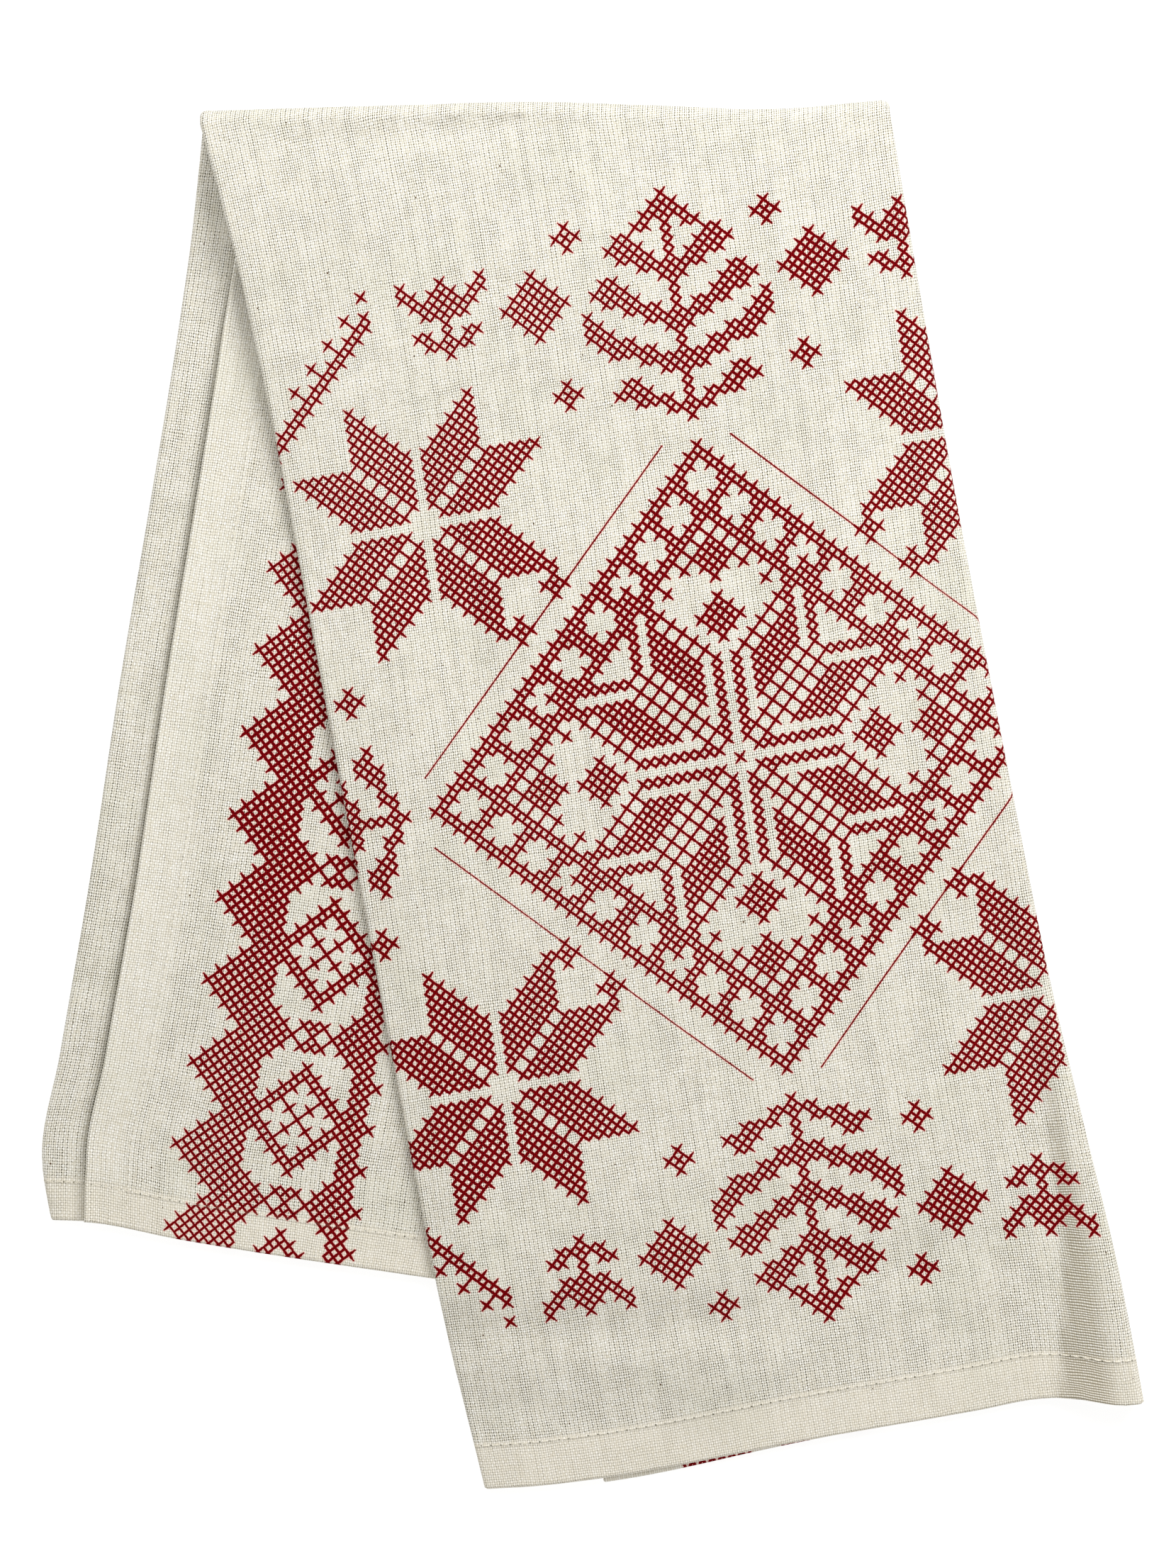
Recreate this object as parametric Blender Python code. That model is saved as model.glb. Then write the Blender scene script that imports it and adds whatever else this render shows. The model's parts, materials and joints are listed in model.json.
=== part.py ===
"""Flour sack towel folded in three along its length, then once across, lying flat. Metres, +Z up.

The towel is one closed sheet. Its two side folds make a strip of three layers: the centre panel on its face,
the left panel behind it and the right panel behind both. The strip is then folded over at the top, a little
askew, so that the front leg lies on the back leg and the two spread like an upside-down V.

A point of the cloth is placed in two steps: first in the strip, by its distance from the left fold and its
depth below the strip's face, and then on the table, between the two edges of the leg that it belongs to.
"""

import math

import bmesh
import bpy
import numpy as np

# The sheet and its layers
CLOTH = 0.0010
LAYER_GAP = 0.0004
LAYER_PITCH = CLOTH + LAYER_GAP
STRIP_DEPTH = 3 * CLOTH + 2 * LAYER_GAP
STACK = 2 * STRIP_DEPTH + LAYER_GAP
STRIP_WIDTH = 0.1823

# Corners of the two legs on the table. The fold's ends lie where the cloth starts to turn over.
FOLD_LEFT = (-0.1063, 0.1819)
FOLD_RIGHT = (0.0808, 0.1850)
FRONT_HEM_LEFT = (-0.0294, -0.1892)
FRONT_HEM_RIGHT = (0.1504, -0.1651)
BACK_HEM_LEFT = (-0.1479, -0.1158)
BACK_HEM_RIGHT = (0.0313, -0.1423)

# How far a leg's edges bow towards +X from straight lines: share of the way from fold to hem, left edge, right edge
FRONT_BOWS = (
    (0.00, 0.0000, 0.0000),
    (0.10, 0.0020, -0.0010),
    (0.20, 0.0024, -0.0015),
    (0.40, 0.0013, -0.0024),
    (0.55, 0.0002, -0.0026),
    (0.70, -0.0008, -0.0024),
    (0.80, -0.0013, -0.0011),
    (0.90, -0.0013, 0.0003),
    (1.00, 0.0000, 0.0000),
)
BACK_BOWS = (
    (0.00, 0.0000, 0.0000),
    (0.10, 0.0010, 0.0000),
    (0.20, 0.0009, 0.0000),
    (0.35, -0.0002, 0.0000),
    (0.50, -0.0015, 0.0000),
    (0.70, -0.0023, 0.0000),
    (0.85, -0.0037, 0.0000),
    (0.95, -0.0045, 0.0000),
    (1.00, 0.0000, 0.0000),
)

# How far an end bows outwards from a straight line: share of the way across from the left fold, distance
FOLD_BOW = ((0.00, 0.0000), (0.30, 0.0007), (0.48, 0.0010), (0.65, -0.0004), (0.83, -0.0020), (1.00, 0.0000))
FRONT_HEM_BOW = (
    (0.00, 0.0000),
    (0.18, 0.0011),
    (0.30, 0.0000),
    (0.47, -0.0015),
    (0.60, -0.0024),
    (0.75, -0.0034),
    (0.85, -0.0042),
    (0.95, -0.0012),
    (1.00, 0.0000),
)
BACK_HEM_BOW = ((0.00, 0.0000), (0.05, -0.0010), (0.20, 0.0000), (0.60, 0.0004), (1.00, 0.0000))
FOLD_BOW_RUN = 0.20
HEM_BOW_RUN = 0.20

# Where the panels behind the strip's face end, from the left fold: share of the leg, left panel, right panel
FRONT_PANELS = ((0.0, 0.1065, 0.0143), (1.0, 0.1254, 0.0330))
BACK_PANELS = (
    (0.0, 0.1065, 0.0143),
    (0.2, 0.1060, 0.0129),
    (0.45, 0.1055, 0.0117),
    (0.7, 0.1050, 0.0134),
    (0.9, 0.1048, 0.0129),
    (1.0, 0.1047, 0.0092),
)

# The right panel's loose corner shows below the front hem
UNDER_REACH = 0.0014
UNDER_REACH_END = 0.1000

# Past the back leg the front leg sinks to the table
SINK = STRIP_DEPTH + LAYER_GAP
SINK_START = 0.0015
SINK_RUN = 0.0350

# Soft relief of the front leg: share of the leg where it starts, and heights at the right fold and beside its valley
RELIEF_START = 0.55
FOLD_PUFF = 0.0014
FOLD_PUFF_WIDTH = 0.0100
VALLEY_FROM_FOLD = 0.0170
VALLEY_WIDTH = 0.0080
VALLEY_SHOULDER = 0.0007
WAVE_HEIGHT = 0.0004
WAVE_LENGTH = 0.1400

# How many faces each stretch of the sheet has
LEFT_PANEL_FACES = 10
LEFT_FOLD_FACES = 4
CENTRE_FACES = 18
RIGHT_FOLD_FACES = 5
RIGHT_PANEL_FACES = 14
FRONT_LEG_FACES = 13
FRONT_HEM_FACES = 8
FRONT_HEM_SHARE = 0.80
TURN_FACES = 8
BACK_LEG_FACES = 7
BACK_HEM_FACES = 4
BACK_HEM_SHARE = 0.80

CLOTH_COLOUR = (0.86, 0.83, 0.72, 1.0)
CLOTH_ROUGHNESS = 0.92


def clear_scene():
    for thing in list(bpy.data.objects):
        bpy.data.objects.remove(thing, do_unlink=True)


def smooth(share):
    """Rises softly from 0 to 1 as share goes from 0 to 1."""
    share = min(max(share, 0.0), 1.0)
    return share * share * (3.0 - 2.0 * share)


def curve_value(table, share, column=1):
    """Reads a column of a table at a share between its rows, on a smooth curve through them."""
    places = [row[0] for row in table]
    values = [row[column] for row in table]
    if len(table) == 2:
        return float(np.interp(share, places, values))
    slopes = np.gradient(values, places)
    row = min(max(int(np.searchsorted(places, share)) - 1, 0), len(table) - 2)
    step = places[row + 1] - places[row]
    t = (share - places[row]) / step
    return float(
        values[row] * (1 + 2 * t) * (1 - t) ** 2
        + slopes[row] * step * t * (1 - t) ** 2
        + values[row + 1] * t * t * (3 - 2 * t)
        + slopes[row + 1] * step * t * t * (t - 1)
    )


def unit(start, end):
    """Direction from one point to another."""
    way = np.subtract(end, start)
    return way / np.hypot(*way)


def left_of(way):
    """Direction to the left of someone who walks along way, seen from above."""
    return np.array((-way[1], way[0]))


def left_of_line(point, start, end):
    """Distance of a point to the left of someone who walks from start to end."""
    return float(np.dot(np.subtract(point, start), left_of(unit(start, end))))


OUT_OF_FOLD = left_of(unit(FOLD_LEFT, FOLD_RIGHT))
OUT_OF_FRONT_HEM = -left_of(unit(FRONT_HEM_LEFT, FRONT_HEM_RIGHT))
OUT_OF_BACK_HEM = -left_of(unit(BACK_HEM_LEFT, BACK_HEM_RIGHT))


def fold_place(across):
    """Place on the table of a point of the line where the cloth starts to turn over."""
    straight = np.multiply(FOLD_LEFT, 1 - across) + np.multiply(FOLD_RIGHT, across)
    return straight + OUT_OF_FOLD * curve_value(FOLD_BOW, across)


def leg_place(across, share, hem_left, hem_right, bows, hem_bow, out_of_hem):
    """Place on the table of a point of a leg: across from its left edge, and share of the way to its hem."""
    left_way = unit(FOLD_LEFT, hem_left)
    right_way = unit(FOLD_RIGHT, hem_right)
    left = np.multiply(FOLD_LEFT, 1 - share) + np.multiply(hem_left, share)
    right = np.multiply(FOLD_RIGHT, 1 - share) + np.multiply(hem_right, share)
    left = left + left_of(left_way) * curve_value(bows, share, 1)
    right = right + left_of(right_way) * curve_value(bows, share, 2)
    place = left * (1 - across) + right * across
    near_fold = smooth(1 - share / FOLD_BOW_RUN)
    near_hem = smooth(1 - (1 - share) / HEM_BOW_RUN)
    place = place + OUT_OF_FOLD * curve_value(FOLD_BOW, across) * near_fold
    return place + out_of_hem * curve_value(hem_bow, across) * near_hem


def front_place(across, share):
    return leg_place(
        across, share, FRONT_HEM_LEFT, FRONT_HEM_RIGHT, FRONT_BOWS, FRONT_HEM_BOW, OUT_OF_FRONT_HEM
    )


def back_place(across, share):
    return leg_place(
        across, share, BACK_HEM_LEFT, BACK_HEM_RIGHT, BACK_BOWS, BACK_HEM_BOW, OUT_OF_BACK_HEM
    )


def sink_at(place):
    """How far the front leg has sunk at a place beyond the back leg's right fold and hem."""
    past_side = left_of_line(place, FOLD_RIGHT, BACK_HEM_RIGHT)
    past_hem = -left_of_line(place, BACK_HEM_LEFT, BACK_HEM_RIGHT)
    reach = math.hypot(max(past_side, 0.0), max(past_hem, 0.0))
    return SINK * smooth((reach - SINK_START) / SINK_RUN)


def relief_at(from_left, share):
    """Height of the front leg's face above its even lie."""
    from_right = STRIP_WIDTH - from_left
    lower = smooth((share - RELIEF_START) / (1 - RELIEF_START))
    puff = FOLD_PUFF * smooth(1 - from_right / FOLD_PUFF_WIDTH)
    shoulder = VALLEY_SHOULDER * smooth((from_right - VALLEY_FROM_FOLD) / VALLEY_WIDTH)
    wave = WAVE_HEIGHT * math.sin(math.pi * share) ** 2
    wave *= 1 + math.sin(math.tau * (share * 0.38 + from_left * 0.7) / WAVE_LENGTH)
    return lower * (puff + shoulder) + wave


def front_point(from_left, depth, share):
    """Point of the front leg, which carries the strip's face on top."""
    across = from_left / STRIP_WIDTH
    place = front_place(across, share)
    loose = smooth(1 - (from_left - FRONT_PANELS[-1][2]) / UNDER_REACH_END)
    lowest = (depth / STRIP_DEPTH) ** 3
    near_hem = smooth(1 - (1 - share) / HEM_BOW_RUN)
    place = place + OUT_OF_FRONT_HEM * UNDER_REACH * loose * lowest * near_hem
    lift = relief_at(from_left, share) * (1 - depth / STRIP_DEPTH)
    return place[0], place[1], STACK - depth - sink_at(place) + lift


def back_point(from_left, depth, share):
    """Point of the back leg, which lies on the strip's face."""
    place = back_place(from_left / STRIP_WIDTH, share)
    return place[0], place[1], depth


def turn_point(from_left, depth, angle):
    """Point of the cross fold, which turns from the front leg at angle 0 to the back leg at half a turn."""
    radius = STACK / 2 - depth
    place = fold_place(from_left / STRIP_WIDTH) + OUT_OF_FOLD * radius * math.sin(angle)
    return place[0], place[1], STACK / 2 + radius * math.cos(angle)


def fold_arc(centre_x, first_depth, last_depth, outward, faces):
    """Places in the strip of a side fold: for each step of the half turn, on the cloth's outer and inner side."""
    middle = (first_depth + last_depth) / 2
    radius = (last_depth - first_depth) / 2
    steps = []
    for step in range(1, faces):
        angle = math.pi * step / faces
        both = []
        for side in (1, -1):
            reach = abs(radius) + side * CLOTH / 2
            turned = -math.copysign(reach, radius) * math.cos(angle)
            both.append((centre_x + outward * reach * math.sin(angle), middle + turned))
        steps.append(tuple(both))
    return steps


def panel(first_x, last_x, printed_depth, plain_depth, faces):
    """Places in the strip of a flat panel, on the cloth's outer and inner side."""
    return [((x, printed_depth), (x, plain_depth)) for x in np.linspace(first_x, last_x, faces + 1)]


def strip_section(left_panel_end, right_panel_end):
    """Places in the strip of one line across the cloth, from the left panel's edge to the right panel's."""
    centre_mid = CLOTH / 2
    left_mid = centre_mid + LAYER_PITCH
    right_mid = left_mid + LAYER_PITCH
    left_turn = (left_mid - centre_mid) / 2 + CLOTH / 2
    right_turn = STRIP_WIDTH - (right_mid - centre_mid) / 2 - CLOTH / 2
    half = CLOTH / 2
    return (
        panel(left_panel_end, left_turn, left_mid + half, left_mid - half, LEFT_PANEL_FACES)
        + fold_arc(left_turn, left_mid, centre_mid, -1, LEFT_FOLD_FACES)
        + panel(left_turn, right_turn, centre_mid - half, centre_mid + half, CENTRE_FACES)
        + fold_arc(right_turn, centre_mid, right_mid, 1, RIGHT_FOLD_FACES)
        + panel(right_turn, right_panel_end, right_mid + half, right_mid - half, RIGHT_PANEL_FACES)
    )


def sheet_rows():
    """The sheet's points, a row for each line across it, from the front leg's hem to the back leg's."""
    hem_shares = np.linspace(1.0, FRONT_HEM_SHARE, FRONT_HEM_FACES + 1)
    leg_shares = np.linspace(FRONT_HEM_SHARE, 0.0, FRONT_LEG_FACES + 1)[1:]
    rows = []
    for share in (*hem_shares, *leg_shares):
        ends = [curve_value(FRONT_PANELS, share, column) for column in (1, 2)]
        rows.append([[front_point(*place, share) for place in both] for both in strip_section(*ends)])
    ends = FRONT_PANELS[0][1:]
    for step in range(1, TURN_FACES):
        angle = math.pi * step / TURN_FACES
        rows.append([[turn_point(*place, angle) for place in both] for both in strip_section(*ends)])
    leg_shares = np.linspace(0.0, BACK_HEM_SHARE, BACK_LEG_FACES + 1)
    hem_shares = np.linspace(BACK_HEM_SHARE, 1.0, BACK_HEM_FACES + 1)[1:]
    for share in (*leg_shares, *hem_shares):
        ends = [curve_value(BACK_PANELS, share, column) for column in (1, 2)]
        rows.append([[back_point(*place, share) for place in both] for both in strip_section(*ends)])
    return np.array(rows)


def centred(points):
    """Moves the points so that the origin lies under the middle of their outline."""
    flat = points.reshape(-1, 3)
    middle = (flat.min(axis=0) + flat.max(axis=0)) / 2
    return points - (middle[0], middle[1], 0.0)


def build_sheet(points):
    """A closed sheet: its outer and inner faces, and the cut edges that join them."""
    rows, columns = points.shape[:2]
    shape = bmesh.new()
    corner = [[[shape.verts.new(point) for point in both] for both in row] for row in points]
    for row in range(rows - 1):
        for column in range(columns - 1):
            for side in (0, 1):
                ring = (
                    corner[row][column][side],
                    corner[row][column + 1][side],
                    corner[row + 1][column + 1][side],
                    corner[row + 1][column][side],
                )
                shape.faces.new(ring if side else ring[::-1])
    rim = [(0, column) for column in range(columns)]
    rim += [(row, columns - 1) for row in range(1, rows)]
    rim += [(rows - 1, column) for column in range(columns - 2, -1, -1)]
    rim += [(row, 0) for row in range(rows - 2, 0, -1)]
    for (row, column), (next_row, next_column) in zip(rim, rim[1:] + rim[:1]):
        shape.faces.new(
            (
                corner[row][column][0],
                corner[next_row][next_column][0],
                corner[next_row][next_column][1],
                corner[row][column][1],
            )
        )
    bmesh.ops.recalc_face_normals(shape, faces=shape.faces)
    mesh = bpy.data.meshes.new("towel")
    shape.to_mesh(mesh)
    shape.free()
    mesh.shade_smooth()
    mesh.set_sharp_from_angle(angle=math.radians(40))
    return mesh


def cloth_material():
    material = bpy.data.materials.new("natural_cotton")
    material.use_nodes = True
    shader = material.node_tree.nodes["Principled BSDF"]
    shader.inputs["Base Color"].default_value = CLOTH_COLOUR
    shader.inputs["Roughness"].default_value = CLOTH_ROUGHNESS
    shader.inputs["Metallic"].default_value = 0.0
    return material


def main():
    clear_scene()
    mesh = build_sheet(centred(sheet_rows()))
    mesh.materials.append(cloth_material())
    bpy.context.scene.collection.objects.link(bpy.data.objects.new("towel", mesh))


main()
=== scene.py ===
"""Looks of the folded flour sack towel: woven cotton with a printed cross-stitch design, hemmed and stitched.

Metres, +Z up, with the cross fold towards +Y. A place on the open cloth is (u, s): u runs across it from the
right panel's loose edge to the left panel's, and s runs along it from the front leg's hem to the back leg's.
"""
import json
import math

import bmesh
import bpy
import numpy as np
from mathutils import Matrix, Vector

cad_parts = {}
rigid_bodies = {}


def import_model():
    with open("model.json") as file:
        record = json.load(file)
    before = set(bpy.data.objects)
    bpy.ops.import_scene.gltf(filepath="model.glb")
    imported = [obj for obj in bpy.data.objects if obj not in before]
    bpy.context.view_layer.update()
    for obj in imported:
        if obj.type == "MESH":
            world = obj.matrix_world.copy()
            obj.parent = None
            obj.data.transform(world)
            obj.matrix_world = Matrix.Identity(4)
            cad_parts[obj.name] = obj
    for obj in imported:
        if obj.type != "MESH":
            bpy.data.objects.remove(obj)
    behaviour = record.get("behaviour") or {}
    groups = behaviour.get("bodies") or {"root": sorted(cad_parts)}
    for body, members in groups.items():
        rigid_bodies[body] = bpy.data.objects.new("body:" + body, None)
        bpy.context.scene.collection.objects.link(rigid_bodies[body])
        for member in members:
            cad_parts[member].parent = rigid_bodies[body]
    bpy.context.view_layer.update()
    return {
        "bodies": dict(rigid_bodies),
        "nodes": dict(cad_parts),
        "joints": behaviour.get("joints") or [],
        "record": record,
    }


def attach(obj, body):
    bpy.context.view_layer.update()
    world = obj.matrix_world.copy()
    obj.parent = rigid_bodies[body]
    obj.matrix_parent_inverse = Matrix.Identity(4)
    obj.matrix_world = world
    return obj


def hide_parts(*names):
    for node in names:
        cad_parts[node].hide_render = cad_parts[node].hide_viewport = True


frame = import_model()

# The open cloth, its thickness, and its thickness in the hems, which reach a little past their seams
CLOTH_WIDTH = 0.457
CLOTH_LENGTH = 0.686
CLOTH = 0.0007
HEM = 0.0011
HEM_OVERLAP = 0.0012
HEM_SLOPE = 0.0012

# Its edges: a narrow row of faces, and how far their rounding stands out
RIM = 0.0005
EDGE_ROUND = 0.00045

# Hem seams: distance in from the edges, pitch of the stitches, and their length
FRONT_SEAM = 0.0116
BACK_SEAM = 0.0096
SIDE_SEAM = 0.0110
SEAM_PITCH = 0.00267
SEAM_STITCH = 0.0017

# The folded strip and its stack, as in the solid
STRIP_WIDTH = 0.1823
STRIP_DEPTH = 0.0038
STACK = 0.0080
LEFT_TURN = 0.001225
RIGHT_TURN = STRIP_DEPTH / 2
CROSS_FOLD = math.pi * STACK / 2
LEFT_LENGTH = 0.3817
RIGHT_LENGTH = 0.3514

# Corners of the two legs on the table
FOLD_LEFT = (-0.1063, 0.1819)
FOLD_RIGHT = (0.0808, 0.1850)
FRONT_HEM_LEFT = (-0.0289, -0.1918)
FRONT_HEM_RIGHT = (0.1493, -0.1597)
BACK_HEM_LEFT = (-0.1479, -0.1158)
BACK_HEM_RIGHT = (0.0313, -0.1423)

# How far a leg's edges bow towards +X from straight lines: share of the way to the hem, left edge, right edge
FRONT_BOWS = (
    (0.00, 0.0, 0.0),
    (0.10, 0.0020, -0.0010),
    (0.20, 0.0024, -0.0015),
    (0.40, 0.0013, -0.0024),
    (0.55, 0.0002, -0.0026),
    (0.70, -0.0008, -0.0024),
    (0.80, -0.0013, -0.0011),
    (0.90, -0.0013, 0.0003),
    (1.00, 0.0, 0.0),
)
BACK_BOWS = (
    (0.00, 0.0, 0.0),
    (0.10, 0.0010, 0.0000),
    (0.20, 0.0009, 0.0000),
    (0.35, -0.0002, 0.0000),
    (0.50, -0.0015, 0.0000),
    (0.70, -0.0023, 0.0000),
    (0.85, -0.0037, 0.0000),
    (0.95, -0.0045, 0.0000),
    (1.00, 0.0, 0.0),
)

# How far an end bows outwards from a straight line: share of the way across from the left fold, distance
FOLD_BOW = ((0.00, 0.0000), (0.30, 0.0007), (0.48, 0.0010), (0.65, -0.0004), (0.83, -0.0020), (1.00, 0.0000))
FRONT_HEM_BOW = (
    (0.00, -0.0026),
    (0.09, -0.0009),
    (0.18, 0.0000),
    (0.50, -0.0003),
    (0.75, 0.0000),
    (0.855, 0.0000),
    (0.90, 0.0014),
    (0.97, 0.0050),
    (1.00, 0.0054),
)
BACK_HEM_BOW = ((0.00, 0.0000), (0.05, -0.0010), (0.20, 0.0000), (0.60, 0.0004), (1.00, 0.0000))
FRONT_LEG = (FRONT_HEM_LEFT, FRONT_HEM_RIGHT, FRONT_BOWS, FRONT_HEM_BOW)
BACK_LEG = (BACK_HEM_LEFT, BACK_HEM_RIGHT, BACK_BOWS, BACK_HEM_BOW)
FOLD_BOW_RUN = 0.20
HEM_BOW_RUN = 0.30

# Where the right panel's loose edge lies, from the left fold: place along the cloth, distance
LOOSE_EDGE = (
    (0.000, 0.0330),
    (0.388, 0.0143),
    (0.446, 0.0128),
    (0.600, 0.0132),
    (0.672, 0.0126),
    (0.686, 0.0100),
)

# The layers below look out past the front hem: how far, and how far across this fades out
UNDER_REACH = 0.0021
UNDER_REACH_END = 0.1000

# Past the back leg the front leg sinks to the table
SINK = STACK / 2 + 0.0002
SINK_START = 0.0015
SINK_RUN = 0.0350

# Ridge along the front leg's right fold: share of the way to the hem, height, distance of its foot from the
# fold. RIDGE_ROUND is how round its flank is, and FOOT_BEND half the width of the bend at its foot.
RIDGE = (
    (0.28, 0.0000, 0.0070),
    (0.42, 0.0007, 0.0082),
    (0.56, 0.0006, 0.0078),
    (0.68, 0.0012, 0.0084),
    (0.80, 0.0030, 0.0105),
    (0.89, 0.0052, 0.0150),
    (0.96, 0.0068, 0.0205),
    (1.00, 0.0074, 0.0235),
)
RIDGE_CREST = 0.0045
RIDGE_ROUND = 1.6
FOOT_BEND = 0.0004

# Ribs of the weave on the ridge's flank: where on the way to the hem they start, and how far up the flank
RIB_START = 0.66
RIB_RUN = 0.20
RIB_FOOT = 0.12
RIB_TOP = 0.35

# The front leg's left fold holds two layers, not three, and sags on to the back leg
SAG = 0.0012
SAG_RUN = 0.0130
SAG_START = 0.15
SAG_GROWTH = 0.25

# The right panel's loose edge stands up: how much, how far across it, and how far down the leg this starts
EDGE_LIFT = 0.0017
EDGE_LIFT_RUN = 0.0060
EDGE_LIFT_CURVE = 1.5
EDGE_LIFT_START = 0.0300

# The left panel dips below that edge: where across the open cloth, how deep, how soon it falls, how far it
# goes on, and extra lines of the cloth's grid for it
UNDER_EDGE = 2 * STRIP_WIDTH + (math.pi - 2) * (RIGHT_TURN + LEFT_TURN)
DIP = 0.0009
DIP_FALL = 0.0020
DIP_END = 0.0090
DIP_LINES = (-0.0024, -0.0010, 0.0004)

# The cross fold isn't pressed flat: how much higher the front leg and the back leg's face stand, and how far
# from the left fold and along the leg the latter takes to come up
FOLD_LOFT = 0.0050
BACK_LOFT = 0.0010
BACK_LOFT_RUN = 0.0160
BACK_LOFT_RISE = 0.06
LOFT_START = 0.0150
LOFT_END = 0.1050

# Main creases of the front leg's face, as soft troughs: start x and y, end x and y, half width, depth
CREASES = (
    (-0.0780, 0.1762, -0.0150, 0.1824, 0.0032, 0.0015),
    (-0.0400, -0.1470, 0.0480, -0.1435, 0.0070, 0.0018),
    (0.0500, -0.1350, 0.1050, -0.1240, 0.0060, 0.0008),
    (-0.0500, 0.0900, -0.0300, 0.0200, 0.0090, 0.0010),
    (0.0150, 0.0350, 0.0500, -0.0900, 0.0120, 0.0010),
)
CREASE_END = 0.0150

# Long waves of the front leg's face: height, length, the way to the hem in metres, and how far askew they run
WAVE_HEIGHT = 0.0004
WAVE_LENGTH = 0.1400
WAVE_REACH = 0.38
WAVE_SKEW = 0.7

# Print: cells of its cross-stitch chart, its strokes, shares of their width in thin ones and at their ends,
# and how far their edges stray
CELL = 0.00276
STROKE = 0.00077
THIN_STROKE = 0.5
THIN_END = 0.6
FREE_END, JOINED_END = 0.62, 0.92
RAGGED = 0.00020
UNEVEN = 0.00022

# Middle of the print on the open cloth, how many cells the chart may reach, and the band along a side edge
PRINT_CENTRE = (0.2328, 0.1865)
CHART_REACH = 200
BAND_FIRST = 76
BAND_REPEAT = 16

# The solid's origin lies under the middle of its outline, and the seams' thread lifts the cloth a little
ORIGIN_SHIFT = (0.00001, -0.0003, 0.0001)

# Where parts of the cloth lie in the one picture that an export bakes its colours to, most of it the outside:
# plain side or not, first column and number of columns of the chart, first row and number of rows, a quarter
# turn or not, and the left, bottom, width and height in the picture, in pixels
BAKE_SIZE = 1024
BAKE_BLOCKS = (
    (False, -27, 68, -68, 142, False, 4, 4, 408, 852),
    (False, -84, 57, 62, 120, False, 418, 4, 342, 720),
    (False, 41, 15, 66, 116, False, 766, 4, 90, 696),
    (False, -27, 68, 74, 108, True, 418, 731, 432, 286),
    (False, -84, 57, -68, 130, False, 863, 500, 154, 520),
    (False, 41, 15, -68, 134, False, 863, 6, 60, 482),
    (False, 56, 26, -68, 250, False, 933, 6, 78, 482),
    (True, -84, 166, -68, 250, True, 4, 863, 400, 154),
)

# How finely the folds are cut, and how close two points of a cut may lie
RIGHT_FOLD_STEPS = 6
LEFT_FOLD_STEPS = 5
CROSS_FOLD_STEPS = 8
CUT_JOIN = 1e-5

# Thread of the seams, and rings along a stitch: share of its length, share of full thickness, and lift
THREAD = 0.00030
THREAD_TWIST = 0.0004
TWIST_RELIEF = 0.00006
STITCH_SIDES = 5
STITCH_DIP = 0.25
STITCH_RINGS = ((0.00, 0.4, -STITCH_DIP), (0.30, 1.0, 0.05), (0.70, 1.0, 0.05), (1.00, 0.4, -STITCH_DIP))

# How deep stitches sink where they hide, and the wave by which those of the end seams show
STITCH_SINK = 0.42
SINK_WAVE = 0.19
SINK_WAVE_TOP = 0.165
SIDE_SHOW = 0.3

# Weave: pitch of the yarns, and the size and lean of the gaps between them
YARN_ACROSS = 0.00061
YARN_ALONG = 0.00072
GAP_WIDTH = 0.00023
GAP_LENGTH = 0.00029
GAP_LEAN = 1.1

# Noises: how fine across and along the cloth, detail, and start
DRIFT_ACROSS = (240, 60, 1.0, 0.0)
DRIFT_ALONG = (110, 170, 1.0, 4.0)
THIN_BANDS = (420, 14, 1.0, 8.0)
THIN_PATCHES = (130, 130, 2.0, 10.0)
LONG_YARNS = (1500, 60, 1.0, 12.0)
CROSS_YARNS = (60, 1300, 1.0, 16.0)
COOL_PATCHES = (38, 38, 2.0, 20.0)
RAGGED_INK = (1700, 1700, 0.0, 24.0)
PUCKERS = (55, 55, 1.0, 28.0)
UNEVEN_INK = (11, 11, 0.0, 32.0)
FIBRES = (2300, 2300, 1.0, 36.0)

# How many pitches the yarns drift, and how much yarns, stretches of them and fibres differ in lightness
DRIFTS = (1.1, 1.6)
YARN_TONE, STRETCH_TONE, FIBRE_TONE = 0.8, 0.6, 1.6

# How open the gaps are: everywhere, in thin bands, in thin patches and by luck
GAP_BASE, GAP_IN_BANDS, GAP_IN_PATCHES, GAP_BY_LUCK = 0.26, 0.46, 0.18, 0.56
TIGHT_WIDTH, TIGHT_BASE, TIGHT_IN_PATCHES = 1.4, 0.36, 0.62

# How far ribs, end hems and side hems close the gaps
RIB_CLOSING, HEM_CLOSING, SIDE_CLOSING = 0.6, 0.55, 0.45

# Knuckles: how fast they fall off across and along their yarn, and the height of the cross yarns'
KNUCKLE_ACROSS, KNUCKLE_ALONG = 5.2, 2.4
CROSS_HEIGHT = 0.5

# Soft steps of the weave and the seams: where they are 0, and where 1
THIN_STEP = (0.32, 0.68)
GAP_STEP = (1.1, 0.2)
KNUCKLE_STEP = (1.15, 0.1)
RIB_STEP = (0.46, 0.08)
TONE_STEP = (-0.75, 0.75)
COOL_STEP = (0.45, 0.75)
VALLEY_SHADE_STEP = (0.80, 0.05)
GROOVE_STEP = (0.0008, 0.0)
HEM_STEP = (HEM_OVERLAP + 0.0006, HEM_OVERLAP - 0.0006)
HOLE_STEP = (0.00034, 0.00012)

# Soft steps of the print: by depth in a stroke, by strokes that meet at a corner, and along a stroke
INK_STEP = (-0.00006, 0.00006)
BLEED_STEP = (-0.00035, 0.0)
INK_EDGE_STEP = (0.00003, 0.00016)
CROSSING_STEP = (0.0, 0.0002)
KNUCKLE_INK_STEP = (0.4, 1.0)
JOINED_STEP = (1.3, 1.5)
LIT_STEP = (0.5, 0.4)
TAPER_STEP = (0.35, 1.0)
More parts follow.
